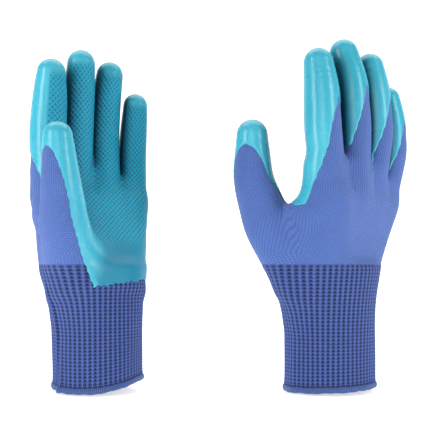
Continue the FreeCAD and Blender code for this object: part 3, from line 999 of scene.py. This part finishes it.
def cuff_shape(glove, angle, height):
    """Smooth outline of the cuff with its soft folds."""
    turns, levels = 96, 44
    coarse_angle = np.linspace(-math.pi, math.pi, turns + 1)
    coarse_height = np.linspace(0.0, KNIT_BOTTOM, levels + 1)
    grid_a, grid_h = np.meshgrid(coarse_angle[:-1], coarse_height)
    radius = cuff_radius(glove, grid_a.ravel(), grid_h.ravel()).reshape(grid_a.shape)
    radius = np.concatenate([radius, radius[:, :1]], axis=1)
    col = (angle + math.pi) / (2 * math.pi) * turns
    row = height / KNIT_BOTTOM * levels
    c0 = np.clip(np.floor(col).astype(int), 0, turns - 1)
    r0 = np.clip(np.floor(row).astype(int), 0, levels - 1)
    fc, fr = col - c0, np.clip(row - r0, 0, 1)
    out = (radius[r0, c0] * (1 - fc) + radius[r0, c0 + 1] * fc) * (1 - fr)
    out += (radius[r0 + 1, c0] * (1 - fc) + radius[r0 + 1, c0 + 1] * fc) * fr
    fade = smooth_step(86.0, 60.0, height)
    for middle, size, width in CREASE[glove.side]:
        gap = wrapped(angle - math.radians(middle) + 0.0015 * (height - 40))
        out = out + size * np.exp(-(gap / width) ** 2) * fade
    sway = 0.35 * np.sin(2 * angle + height * 0.03) + 0.22 * np.sin(5 * angle - height * 0.08 + 1.0)
    flare = 0.2 * smooth_step(14.0, 2.0, height)
    return out + sway * fade + flare


def ring_quads(rows, columns, first=0):
    """Quads of a grid whose columns close into a ring."""
    r, c = np.meshgrid(np.arange(rows - 1), np.arange(columns), indexing="ij")
    a = r * columns + c
    b = r * columns + (c + 1) % columns
    return np.stack([a, b, b + columns, a + columns], axis=-1).reshape(-1, 4) + first


def dot_pattern(angle, height):
    """The cuff's triangular dots, its rib crests and its rows, each from 0 to 1."""
    rib = (angle + math.pi) / (2 * math.pi) * RIBS
    across = np.abs(rib - np.round(rib)) * 2
    course = (height - CUFF_LOW) / COURSE
    rise = course - np.floor(course)
    taper = 0.70 * np.clip(1 - rise / 0.95, 0.0, 1.0) + 0.06
    dot = smooth_step(taper + 0.12, taper - 0.06, across)
    dot = dot * smooth_step(0.0, 0.1, rise) * smooth_step(0.80, 0.68, rise)
    seam_row = smooth_step(CUFF_LOW + 2.4, CUFF_LOW + 1.6, height)
    dot = np.maximum(dot, 0.85 * seam_row * smooth_step(1.0, 0.75, across))
    ridge = smooth_step(0.35, 1.0, across)
    swell = 0.5 + 0.5 * np.cos(2 * math.pi * (rise - 0.55 - 0.25 * across))
    return dot, ridge, swell


def build_cuff(glove):
    """The ribbed tube: a fine outer wall, a coarse inner one, and rings that join them."""
    columns = RIBS * SAMPLES
    top = KNIT_BOTTOM + CUFF_LAP
    rows = int((top - CUFF_LOW) / ROW_STEP)
    angle = -math.pi + np.arange(columns) / columns * 2 * math.pi
    height = CUFF_LOW + np.arange(rows) * ROW_STEP
    a, h = (grid.ravel() for grid in np.meshgrid(angle, height))
    radius = cuff_shape(glove, a, np.minimum(h, KNIT_BOTTOM))
    dot, ridge, swell = dot_pattern(a, h)
    top_fade = smooth_step(top, KNIT_BOTTOM - 2.0, h)
    lift = (RIB_LIFT * ridge + ROW_LIFT * swell - DOT_DEPTH * dot) * top_fade
    outer = cuff_centre(h) + directions(a) * (radius + lift)[:, None]
    inner = cuff_centre(h) + directions(a) * (radius - CUFF_WALL)[:, None]
    outer[:, 2] += lower_edge_shift(glove, outer)
    inner[:, 2] += lower_edge_shift(glove, inner)
    keep = np.concatenate([np.arange(0, rows - 1, 12), [rows - 1]])
    inner = inner.reshape(rows, columns, 3)[keep].reshape(-1, 3)
    base = rows * columns
    column = np.arange(columns)
    after = (column + 1) % columns
    last_outer = (rows - 1) * columns
    last_inner = base + (len(keep) - 1) * columns
    foot = np.stack([base + column, base + after, after, column], axis=1)
    rim = np.stack([last_outer + column, last_outer + after, last_inner + after, last_inner + column], axis=1)
    inner_quads = ring_quads(len(keep), columns, base)[:, ::-1]
    quads = np.concatenate([ring_quads(rows, columns), inner_quads, foot, rim])
    if glove.mirror < 0:
        quads = quads[:, ::-1]
    zero = np.zeros(len(inner))
    attributes = {
        "dot": np.concatenate([dot * top_fade, zero]),
        # painted light and shade of the cuff's body: 1 on the rib crests and row swells, 0 in the valleys
        # between
        "swell": np.concatenate([0.45 * swell + 0.55 * ridge, zero]),
    }
    vertices = glove.to_row(np.concatenate([outer, inner]))
    obj = make_object(glove.side + "_cuff_knit", vertices, quads, None, attributes, CUFF)
    bend_piece(glove, obj, "cuff")
    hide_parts(glove.side + "_cuff")


def build_hem(glove):
    """The thread bound round the opening: a flattened ring, swelling at every stitch."""
    angle = -math.pi + np.arange(HEM_COLUMNS) / HEM_COLUMNS * 2 * math.pi
    turn = np.arange(HEM_AROUND) / HEM_AROUND * 2 * math.pi
    t, a = (grid.ravel() for grid in np.meshgrid(turn, angle, indexing="ij"))
    radius = cuff_shape(glove, a, np.full_like(a, 3.0)) - 0.1
    stitch = 0.5 + 0.5 * np.cos(a * HEM_STITCHES + t * 1.2)
    wave = 0.25 * np.sin(a * 9 + 0.7) + 0.18 * np.sin(a * 23)
    swell = 0.16 * stitch
    out = (HEM_THICK + swell) * np.sign(np.cos(t)) * np.abs(np.cos(t)) ** 0.8
    up = (HEM_HEIGHT / 2 + swell * 0.5) * np.sign(np.sin(t)) * np.abs(np.sin(t)) ** 0.8
    points = directions(a) * (radius + out)[:, None]
    points[:, 2] = HEM_LOW + HEM_HEIGHT / 2 + up + wave * smooth_step(0.5, -1.0, np.sin(t)) * 0.6
    points[:, 2] += lower_edge_shift(glove, points)
    column = np.arange(HEM_COLUMNS)
    after = (column + 1) % HEM_COLUMNS
    last = (HEM_AROUND - 1) * HEM_COLUMNS
    closing = np.stack([last + column, last + after, after, column], axis=1)
    quads = np.concatenate([ring_quads(HEM_AROUND, HEM_COLUMNS), closing])
    if glove.mirror < 0:
        quads = quads[:, ::-1]
    node = glove.side + "_hem_binding"
    obj = make_object(node, glove.to_row(points), quads, None, {"stitch": stitch}, HEM)
    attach(obj, glove.side + "_cuff")
    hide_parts(glove.side + "_hem")


# ================================================================ materials
# size of one knit stitch, and from how far off a neighbouring finger puts painted shade in the gap beside it
STITCH_WIDE = 1.5
STITCH_HIGH = 1.25
COAT_GAP_SHADE = 0.050
KNIT_GAP_SHADE = 0.014


class Shader:
    """A new material, with short ways of adding to its nodes."""

    def __init__(self, name):
        self.material = bpy.data.materials.new(name)
        self.material.use_nodes = True
        self.nodes = self.material.node_tree.nodes
        self.links = self.material.node_tree.links
        self.inputs = self.nodes["Principled BSDF"].inputs

    def attribute(self, name, output="Fac"):
        node = self.nodes.new("ShaderNodeAttribute")
        node.attribute_name = name
        return node.outputs[output]

    def fill(self, socket, value):
        """Puts a number, a colour or another node's output into a socket."""
        if isinstance(value, tuple):
            socket.default_value = (*value, 1.0)
        elif isinstance(value, (int, float)):
            socket.default_value = value
        else:
            self.links.new(value, socket)

    def math(self, operation, *values):
        node = self.nodes.new("ShaderNodeMath")
        node.operation = operation
        for socket, value in zip(node.inputs, values):
            self.fill(socket, value)
        return node.outputs[0]

    def mix(self, factor, first, second):
        node = self.nodes.new("ShaderNodeMix")
        node.data_type = "RGBA"
        self.links.new(factor, node.inputs["Factor"])
        self.fill(node.inputs["A"], first)
        self.fill(node.inputs["B"], second)
        return node.outputs["Result"]

    def noise(self, scale, detail=2.0):
        node = self.nodes.new("ShaderNodeTexNoise")
        node.inputs["Scale"].default_value = scale
        node.inputs["Detail"].default_value = detail
        place = self.nodes.new("ShaderNodeTexCoord").outputs["Object"]
        self.links.new(place, node.inputs["Vector"])
        return node.outputs["Fac"]

    def bump(self, height, distance, strength):
        node = self.nodes.new("ShaderNodeBump")
        node.inputs["Distance"].default_value = distance
        node.inputs["Strength"].default_value = strength
        self.links.new(height, node.inputs["Height"])
        self.links.new(node.outputs["Normal"], self.inputs["Normal"])

    def cloth(self):
        """The cloth coordinates of the piece, in mm: round the hand and along it."""
        split_uv = self.nodes.new("ShaderNodeSeparateXYZ")
        self.links.new(self.attribute("cloth", "Vector"), split_uv.inputs[0])
        return split_uv.outputs["X"], split_uv.outputs["Y"]

    def gap_shade(self, distance):
        """Painted shade between the fingers, from ambient occlusion: from 0 in the open to 1 deep in the gap
        between two fingers.
        """
        node = self.nodes.new("ShaderNodeAmbientOcclusion")
        node.samples = 8
        node.inputs["Distance"].default_value = distance
        closed = self.math("MULTIPLY_ADD", node.outputs["AO"], -2.3, 1.9)
        return self.math("MINIMUM", self.math("MAXIMUM", closed, 0.0), 1.0)


def knit_material():
    """Fine stocking stitch: small V stitches in columns, from the cloth coordinates in mm, with painted shade
    between the stitches.
    """
    shader = Shader("periwinkle_knit")
    u, v = shader.cloth()
    column = shader.math("MULTIPLY", u, 1 / STITCH_WIDE)
    inside = shader.math("FRACT", column)
    from_middle = shader.math("ABSOLUTE", shader.math("SUBTRACT", inside, 0.5))
    lean = shader.math("MULTIPLY", from_middle, 1.3)
    row = shader.math("ADD", shader.math("MULTIPLY", v, 1 / STITCH_HIGH), lean)
    wave = shader.math("SINE", shader.math("MULTIPLY", row, 2 * math.pi))
    loop = shader.math("MULTIPLY_ADD", wave, 0.5, 0.5)
    valley = shader.math("MULTIPLY", from_middle, 2.0)
    leg = shader.math("SUBTRACT", 1.0, shader.math("POWER", valley, 3.0))
    relief = shader.math("MULTIPLY", leg, shader.math("POWER", loop, 0.7))
    fuzz = shader.noise(900.0, 3.0)
    patch = shader.noise(45.0, 2.0)
    # the darker colour is painted shade in the valleys between the stitches, where the same relief also sinks
    # the bump
    dark = shader.mix(patch, (0.040, 0.085, 0.29), (0.055, 0.110, 0.35))
    light = shader.mix(fuzz, (0.095, 0.190, 0.56), (0.130, 0.245, 0.68))
    colour = shader.mix(relief, dark, light)
    # painted shade darkens the knit deep in the gaps between fingers
    colour = shader.mix(shader.gap_shade(KNIT_GAP_SHADE), colour, (0.030, 0.060, 0.20))
    shader.links.new(colour, shader.inputs["Base Color"])
    height = shader.math("ADD", relief, shader.math("MULTIPLY", fuzz, 0.3))
    shader.bump(height, 0.00035, 0.9)
    shader.inputs["Roughness"].default_value = 0.82
    shader.inputs["Sheen Weight"].default_value = 0.25
    shader.inputs["Sheen Roughness"].default_value = 0.4
    shader.inputs["Sheen Tint"].default_value = (0.6, 0.72, 1.0, 1.0)
    return shader.material


def coat_material():
    """Glossy dipped latex, with painted shade in the lattice's recesses and over the flat palm, and with the
    knit just telling through.
    """
    shader = Shader("turquoise_rubber")
    u, v = shader.cloth()
    u = shader.math("MULTIPLY", u, 1 / LATTICE_WIDE)
    v = shader.math("MULTIPLY", v, 1 / LATTICE_HIGH)
    diagonals = []
    for operation in ("ADD", "SUBTRACT"):
        zigzag = shader.math("PINGPONG", shader.math(operation, u, v), 0.5)
        diagonals.append(shader.math("MULTIPLY_ADD", zigzag, -2.0, 1.0))
    line = shader.math("POWER", shader.math("MAXIMUM", *diagonals), 1.9)
    relief = shader.attribute("relief")
    # share of painted shade: deep in the lattice's recesses, and a steady 0.72 over the flat palm where no
    # lattice is raised
    hollow = shader.math("MULTIPLY", shader.math("SUBTRACT", 0.62, line), relief)
    flat_palm_shade = shader.math("MULTIPLY_ADD", relief, -0.34, 0.72)
    recess_and_palm_shade = shader.math("ADD", hollow, flat_palm_shade)
    tint = shader.noise(22.0, 3.0)
    smooth = shader.mix(tint, (0.020, 0.350, 0.470), (0.095, 0.540, 0.680))
    raised = shader.mix(tint, (0.001, 0.390, 0.560), (0.008, 0.460, 0.640))
    # the recess colour is painted shade, in the lattice's hollows and over the palm
    recess_shade = shader.mix(tint, (0.000, 0.130, 0.240), (0.001, 0.170, 0.290))
    embossed = shader.mix(recess_and_palm_shade, raised, recess_shade)
    colour = shader.mix(shader.attribute("lattice"), smooth, embossed)
    # painted shade darkens the coat deep in the gaps between fingers
    colour = shader.mix(shader.gap_shade(COAT_GAP_SHADE), colour, (0.000, 0.050, 0.095))
    shader.links.new(colour, shader.inputs["Base Color"])
    ripple = shader.noise(130.0, 3.0)
    swell = shader.noise(45.0, 1.0)
    height = shader.math("MULTIPLY_ADD", swell, 1.6, ripple)
    height = shader.math("MULTIPLY_ADD", hollow, -0.8, height)
    shader.bump(height, 0.0004, 0.6)
    rough = shader.math("MULTIPLY_ADD", shader.noise(60.0), 0.14, 0.20)
    rough = shader.math("MULTIPLY_ADD", shader.attribute("lattice"), 0.24, rough)
    shader.links.new(rough, shader.inputs["Roughness"])
    shader.inputs["Specular IOR Level"].default_value = 0.42
    shader.inputs["Subsurface Weight"].default_value = 0.06
    shader.inputs["Subsurface Radius"].default_value = (0.0005, 0.002, 0.0025)
    return shader.material


def cuff_material():
    """Ribbed cuff: painted light on the rib crests and row swells and painted shade in the valleys, with navy
    dots sunk between the ribs.
    """
    shader = Shader("dotted_cuff_knit")
    fuzz = shader.noise(700.0, 3.0)
    rib = shader.mix(fuzz, (0.050, 0.096, 0.328), (0.077, 0.137, 0.428))
    shade = shader.mix(fuzz, (0.022, 0.048, 0.191), (0.035, 0.068, 0.246))
    # the body colour is painted: lighter on rib crests and row swells, painted shade in the valleys
    body = shader.mix(shader.attribute("swell"), shade, rib)
    navy = shader.mix(fuzz, (0.002, 0.006, 0.050), (0.005, 0.015, 0.082))
    shader.links.new(shader.mix(shader.attribute("dot"), body, navy), shader.inputs["Base Color"])
    shader.bump(fuzz, 0.0003, 0.6)
    shader.inputs["Roughness"].default_value = 0.85
    shader.inputs["Sheen Weight"].default_value = 0.15
    shader.inputs["Sheen Roughness"].default_value = 0.5
    shader.inputs["Sheen Tint"].default_value = (0.6, 0.7, 1.0, 1.0)
    return shader.material


def hem_material():
    """Overlock thread: painted shade between the stitches."""
    shader = Shader("cornflower_overlock")
    stitch = shader.attribute("stitch")
    fuzz = shader.noise(800.0, 2.0)
    light = shader.mix(fuzz, (0.050, 0.114, 0.346), (0.077, 0.155, 0.428))
    # painted shade where the thread dips between the stitches
    shader.links.new(shader.mix(stitch, (0.011, 0.031, 0.137), light), shader.inputs["Base Color"])
    shader.bump(fuzz, 0.0003, 0.6)
    shader.inputs["Roughness"].default_value = 0.8
    shader.inputs["Sheen Weight"].default_value = 0.2
    return shader.material


def floor_material():
    """White under and behind the gloves, falling off to grey in front, so little light comes from below."""
    shader = Shader("pale_floor")
    place = shader.nodes.new("ShaderNodeSeparateXYZ")
    shader.links.new(shader.nodes.new("ShaderNodeNewGeometry").outputs["Position"], place.inputs[0])
    bright = shader.nodes.new("ShaderNodeMapRange")
    bright.inputs["From Min"].default_value = -0.65
    bright.inputs["From Max"].default_value = -0.22
    shader.links.new(place.outputs["Y"], bright.inputs["Value"])
    mottle = shader.noise(3.0, 2.0)
    white = shader.mix(mottle, (0.90, 0.90, 0.90), (0.93, 0.93, 0.93))
    colour = shader.mix(bright.outputs["Result"], (0.30, 0.30, 0.31), white)
    shader.links.new(colour, shader.inputs["Base Color"])
    glow = shader.math("MULTIPLY", bright.outputs["Result"], 0.62)
    shader.links.new(glow, shader.inputs["Emission Strength"])
    shader.inputs["Emission Color"].default_value = (1.0, 1.0, 1.0, 1.0)
    shader.inputs["Roughness"].default_value = 0.9
    return shader.material


# ================================================================ studio
# the floor's front, back, sides and top, and the radius of its curve, in metres
FLOOR_FRONT = -2.2
FLOOR_BACK = 1.2
FLOOR_LEFT = -4.0
FLOOR_RIGHT = 4.2
FLOOR_TOP = 4.0
SWEEP_RADIUS = 1.2
WORLD_STRENGTH = 0.06
# name, place, target, size and power in watts
LIGHTS = (
    ("left strip", (-0.52, -0.42, 0.32), (0.0, 0.0, 0.13), (0.22, 0.6), 3.3),
    ("right strip", (0.70, -0.36, 0.32), (0.16, 0.0, 0.13), (0.22, 0.6), 2.7),
    ("front", (-0.1, -1.7, 0.7), (0.08, 0.0, 0.13), (0.9, 0.9), 6.5),
    ("top", (0.1, 0.5, 1.5), (0.1, 0.8, 0.0), (2.2, 1.2), 22.0),
)
CAMERA_PLACE = (0.0813, -0.7, 0.089)
CAMERA_LENS = 84.934
CAMERA_SHIFT = 0.1093


def build_floor():
    """A pale sweep: flat under the gloves, then curving up behind them."""
    profile = [(FLOOR_FRONT, 0.0), (FLOOR_BACK, 0.0)]
    for step in range(1, 13):
        bend = math.radians(step * 7.5)
        profile.append((FLOOR_BACK + SWEEP_RADIUS * math.sin(bend), SWEEP_RADIUS * (1 - math.cos(bend))))
    profile.append((FLOOR_BACK + SWEEP_RADIUS, FLOOR_TOP))
    vertices = []
    for y, z in profile:
        vertices += [(FLOOR_LEFT, y, z), (FLOOR_RIGHT, y, z)]
    faces = [(2 * i, 2 * i + 1, 2 * i + 3, 2 * i + 2) for i in range(len(profile) - 1)]
    mesh = bpy.data.meshes.new("floor")
    mesh.from_pydata(vertices, [], faces)
    for polygon in mesh.polygons:
        polygon.use_smooth = True
    mesh.materials.append(floor_material())
    floor = bpy.data.objects.new("floor", mesh)
    bpy.context.scene.collection.objects.link(floor)


def area_light(name, place, target, size, power):
    light = bpy.data.lights.new(name, "AREA")
    light.energy = power
    light.shape = "RECTANGLE"
    light.size, light.size_y = size
    obj = bpy.data.objects.new(name, light)
    obj.location = place
    aim = Vector(target) - Vector(place)
    obj.rotation_euler = aim.to_track_quat("-Z", "Y").to_euler()
    bpy.context.scene.collection.objects.link(obj)


def build_studio():
    """A strip light beside each glove, a large one in front and one over the floor behind."""
    world = bpy.data.worlds.new("studio")
    bpy.context.scene.world = world
    world.use_nodes = True
    background = world.node_tree.nodes["Background"]
    background.inputs["Color"].default_value = (1.0, 1.0, 1.0, 1.0)
    background.inputs["Strength"].default_value = WORLD_STRENGTH
    for light in LIGHTS:
        area_light(*light)
    bpy.context.scene.view_settings.view_transform = "Standard"


def build_camera():
    """Level, a little below the gloves' middle, with the frame shifted up."""
    camera = bpy.data.cameras.new("camera")
    camera.sensor_width = 36.0
    camera.lens = CAMERA_LENS
    camera.shift_y = CAMERA_SHIFT
    camera.clip_start = 0.01
    obj = bpy.data.objects.new("camera", camera)
    obj.location = CAMERA_PLACE
    obj.rotation_euler = (math.radians(90), 0, 0)
    bpy.context.scene.collection.objects.link(obj)
    bpy.context.scene.camera = obj


# ================================================================ building the pair
KNIT = knit_material()
COAT = coat_material()
CUFF = cuff_material()
HEM = hem_material()

for side in SIDES:
    glove = Glove(side)
    build_skin(glove)
    build_cuff(glove)
    build_hem(glove)

build_floor()
build_studio()
build_camera()
